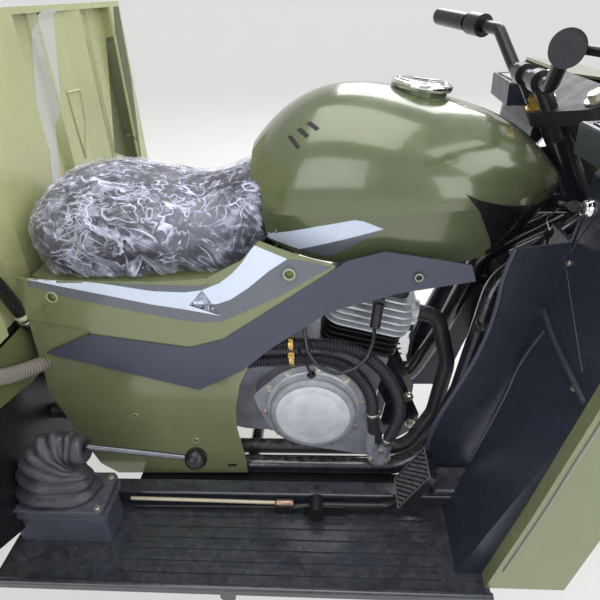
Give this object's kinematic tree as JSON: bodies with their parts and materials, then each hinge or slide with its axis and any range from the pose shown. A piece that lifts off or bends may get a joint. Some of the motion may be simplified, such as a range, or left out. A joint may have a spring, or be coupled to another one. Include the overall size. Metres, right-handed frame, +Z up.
{
  "type": "cargo motor trike",
  "caption": "Three-wheeled cargo motorcycle with a motorcycle frame, tank, seat, open engine, leg shield and an open load bed behind the rider.",
  "frame": {"origin": "on the ground, on the centre plane, halfway along the vehicle", "axes": "+X forward, +Y to the rider's left, +Z up"},
  "size_m": [3.4869, 1.3, 1.1199],
  "materials": {
    "green_paint": "gloss",
    "black_frame_paint": "gloss",
    "bed_paint": "satin",
    "engine_alloy": "satin",
    "black_plastic": "satin",
    "grey_cover_plastic": "gloss",
    "black_rubber": "matte",
    "seat_vinyl": "gloss",
    "chrome_metal": "gloss",
    "bare_steel": "satin",
    "rim_paint": "satin",
    "tyre_rubber": "matte",
    "lamp_front": "gloss",
    "lamp_rear": "gloss"
  },
  "bodies": {
    "frame": {"bed_floor": "bed_paint", "bed_side_left": "bed_paint", "bed_side_right": "bed_paint", "brake_pedal": "black_frame_paint", "coolant_hoses": "black_rubber", "cylinder_barrel": "engine_alloy", "cylinder_head": "engine_alloy", "dashboard": "black_plastic", "engine_block": "engine_alloy", "exhaust": "black_frame_paint", "footboards": "black_frame_paint", "frame_cover_left": "grey_cover_plastic", "frame_cover_right": "grey_cover_plastic", "front_console": "black_plastic", "front_fairing": "green_paint", "front_lamps": "lamp_front", "fuel_cap": "chrome_metal", "fuel_tank": "green_paint", "headboard": "bed_paint", "leaf_springs": "black_frame_paint", "lever_box": "black_plastic", "lever_gaiter": "black_rubber", "lower_panel_left": "green_paint", "lower_panel_right": "green_paint", "main_frame": "black_frame_paint", "radiator": "black_plastic", "range_lever": "bare_steel", "rear_axle": "black_frame_paint", "rear_chassis": "black_frame_paint", "seat": "seat_vinyl", "shift_pedal": "black_frame_paint", "side_cover_left": "green_paint", "side_cover_right": "green_paint", "spark_lead": "black_rubber", "tail_lamps": "lamp_rear"},
    "steering": {"fork": "black_frame_paint", "handlebar": "chrome_metal", "front_mudguard": "green_paint"},
    "front_wheel": {"front_rim": "rim_paint", "front_tyre": "tyre_rubber"},
    "right_wheel": {"right_rim": "rim_paint", "right_tyre": "tyre_rubber"},
    "left_wheel": {"left_rim": "rim_paint", "left_tyre": "tyre_rubber"},
    "tailgate": {"tailgate": "bed_paint"}
  },
  "joints": [
    {"name": "steering_turn", "type": "hinge", "parent": "frame", "child": "steering", "pos_m": [1.1222, 0, 0.8], "axis": [-0.4695, 0, 0.8829], "range_deg": [-38, 38]},
    {"name": "front_wheel_spin", "type": "hinge", "parent": "steering", "child": "front_wheel", "pos_m": [1.45, 0, 0.29], "axis": [0, 1, 0], "continuous": true},
    {"name": "right_wheel_spin", "type": "hinge", "parent": "frame", "child": "right_wheel", "pos_m": [-0.9, -0.52, 0.29], "axis": [0, 1, 0], "continuous": true},
    {"name": "left_wheel_spin", "type": "hinge", "parent": "frame", "child": "left_wheel", "pos_m": [-0.9, 0.52, 0.29], "axis": [0, 1, 0], "continuous": true},
    {"name": "tailgate_swing", "type": "hinge", "parent": "frame", "child": "tailgate", "pos_m": [-1.727, 0, 0.636], "axis": [0, -1, 0], "range_deg": [0, 90]}
  ]
}
